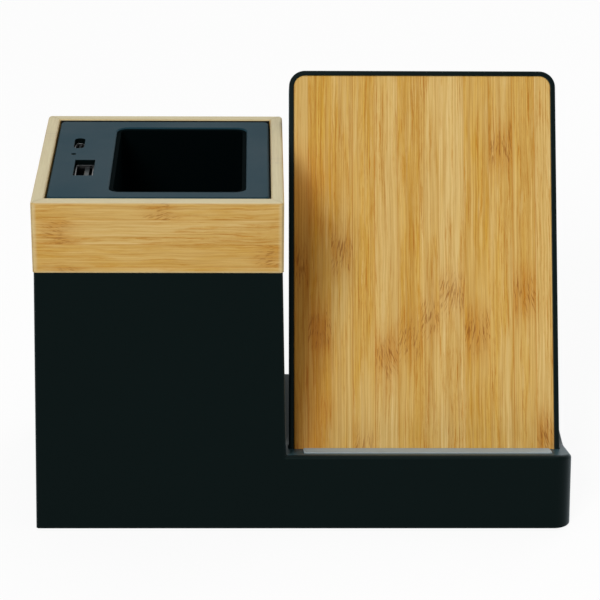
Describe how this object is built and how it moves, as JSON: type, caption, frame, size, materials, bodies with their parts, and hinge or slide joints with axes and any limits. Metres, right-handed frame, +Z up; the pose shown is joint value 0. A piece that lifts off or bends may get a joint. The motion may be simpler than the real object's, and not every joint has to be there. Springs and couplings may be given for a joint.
{
  "type": "wireless charger pen holder",
  "caption": "Desk organizer: a square pen holder with a bamboo collar, a top panel with USB sockets, and a leaning bamboo wireless charging stand for a phone on one low base.",
  "frame": {"origin": "on the desk, under the middle of the whole object's box", "axes": "+X to the right as seen from the front, from the pen holder to the phone stand; +Y to the back; +Z up"},
  "size_m": [0.1732, 0.0858, 0.1302],
  "materials": {
    "housing": "black, fine texture",
    "panel": "dark grey, satin",
    "bamboo": "clear matt lacquer on laminated bamboo",
    "pad": "light grey silicone",
    "foot_rubber": "matt black",
    "screw_steel": "zinc plated",
    "socket_metal": "nickel plated sheet",
    "insulator": "black moulding",
    "contact": "gold plated",
    "board": "green solder mask",
    "chip": "moulded black",
    "light": "clear, polished",
    "copper": "enamelled copper wire",
    "ferrite": "sintered, matt",
    "capacitor": "ceramic",
    "cable": "black jacket",
    "plug": "off-white nylon"
  },
  "bodies": {
    "root": {"main_housing": "housing", "collar_front": "bamboo", "collar_back": "bamboo", "collar_left": "bamboo", "collar_right": "bamboo", "top_panel": "panel", "pen_cup": "housing", "panel_screws": "screw_steel", "hub_board": "board", "hub_board_screws": "screw_steel", "hub_chips": "chip", "status_led": "light", "light_pipe": "light", "usb_a_shell": "socket_metal", "usb_a_tongue": "insulator", "usb_a_contacts": "contact", "usb_c_shell": "socket_metal", "usb_c_tongue": "insulator", "usb_c_contacts": "contact", "stand_frame": "housing", "bamboo_face": "bamboo", "stand_rear_cover": "housing", "charging_coil": "copper", "ferrite_sheet": "ferrite", "coil_leads": "copper", "stand_screws": "screw_steel", "ledge_pad": "pad", "bottom_cover": "housing", "bottom_cover_screws": "screw_steel", "rubber_feet": "foot_rubber", "main_board": "board", "main_board_screws": "screw_steel", "controller_chips": "chip", "power_inductor": "ferrite", "tank_capacitors": "capacitor", "inlet_shell": "socket_metal", "inlet_tongue": "insulator", "hub_cable": "cable", "hub_cable_plugs": "plug"}
  },
  "joints": []
}
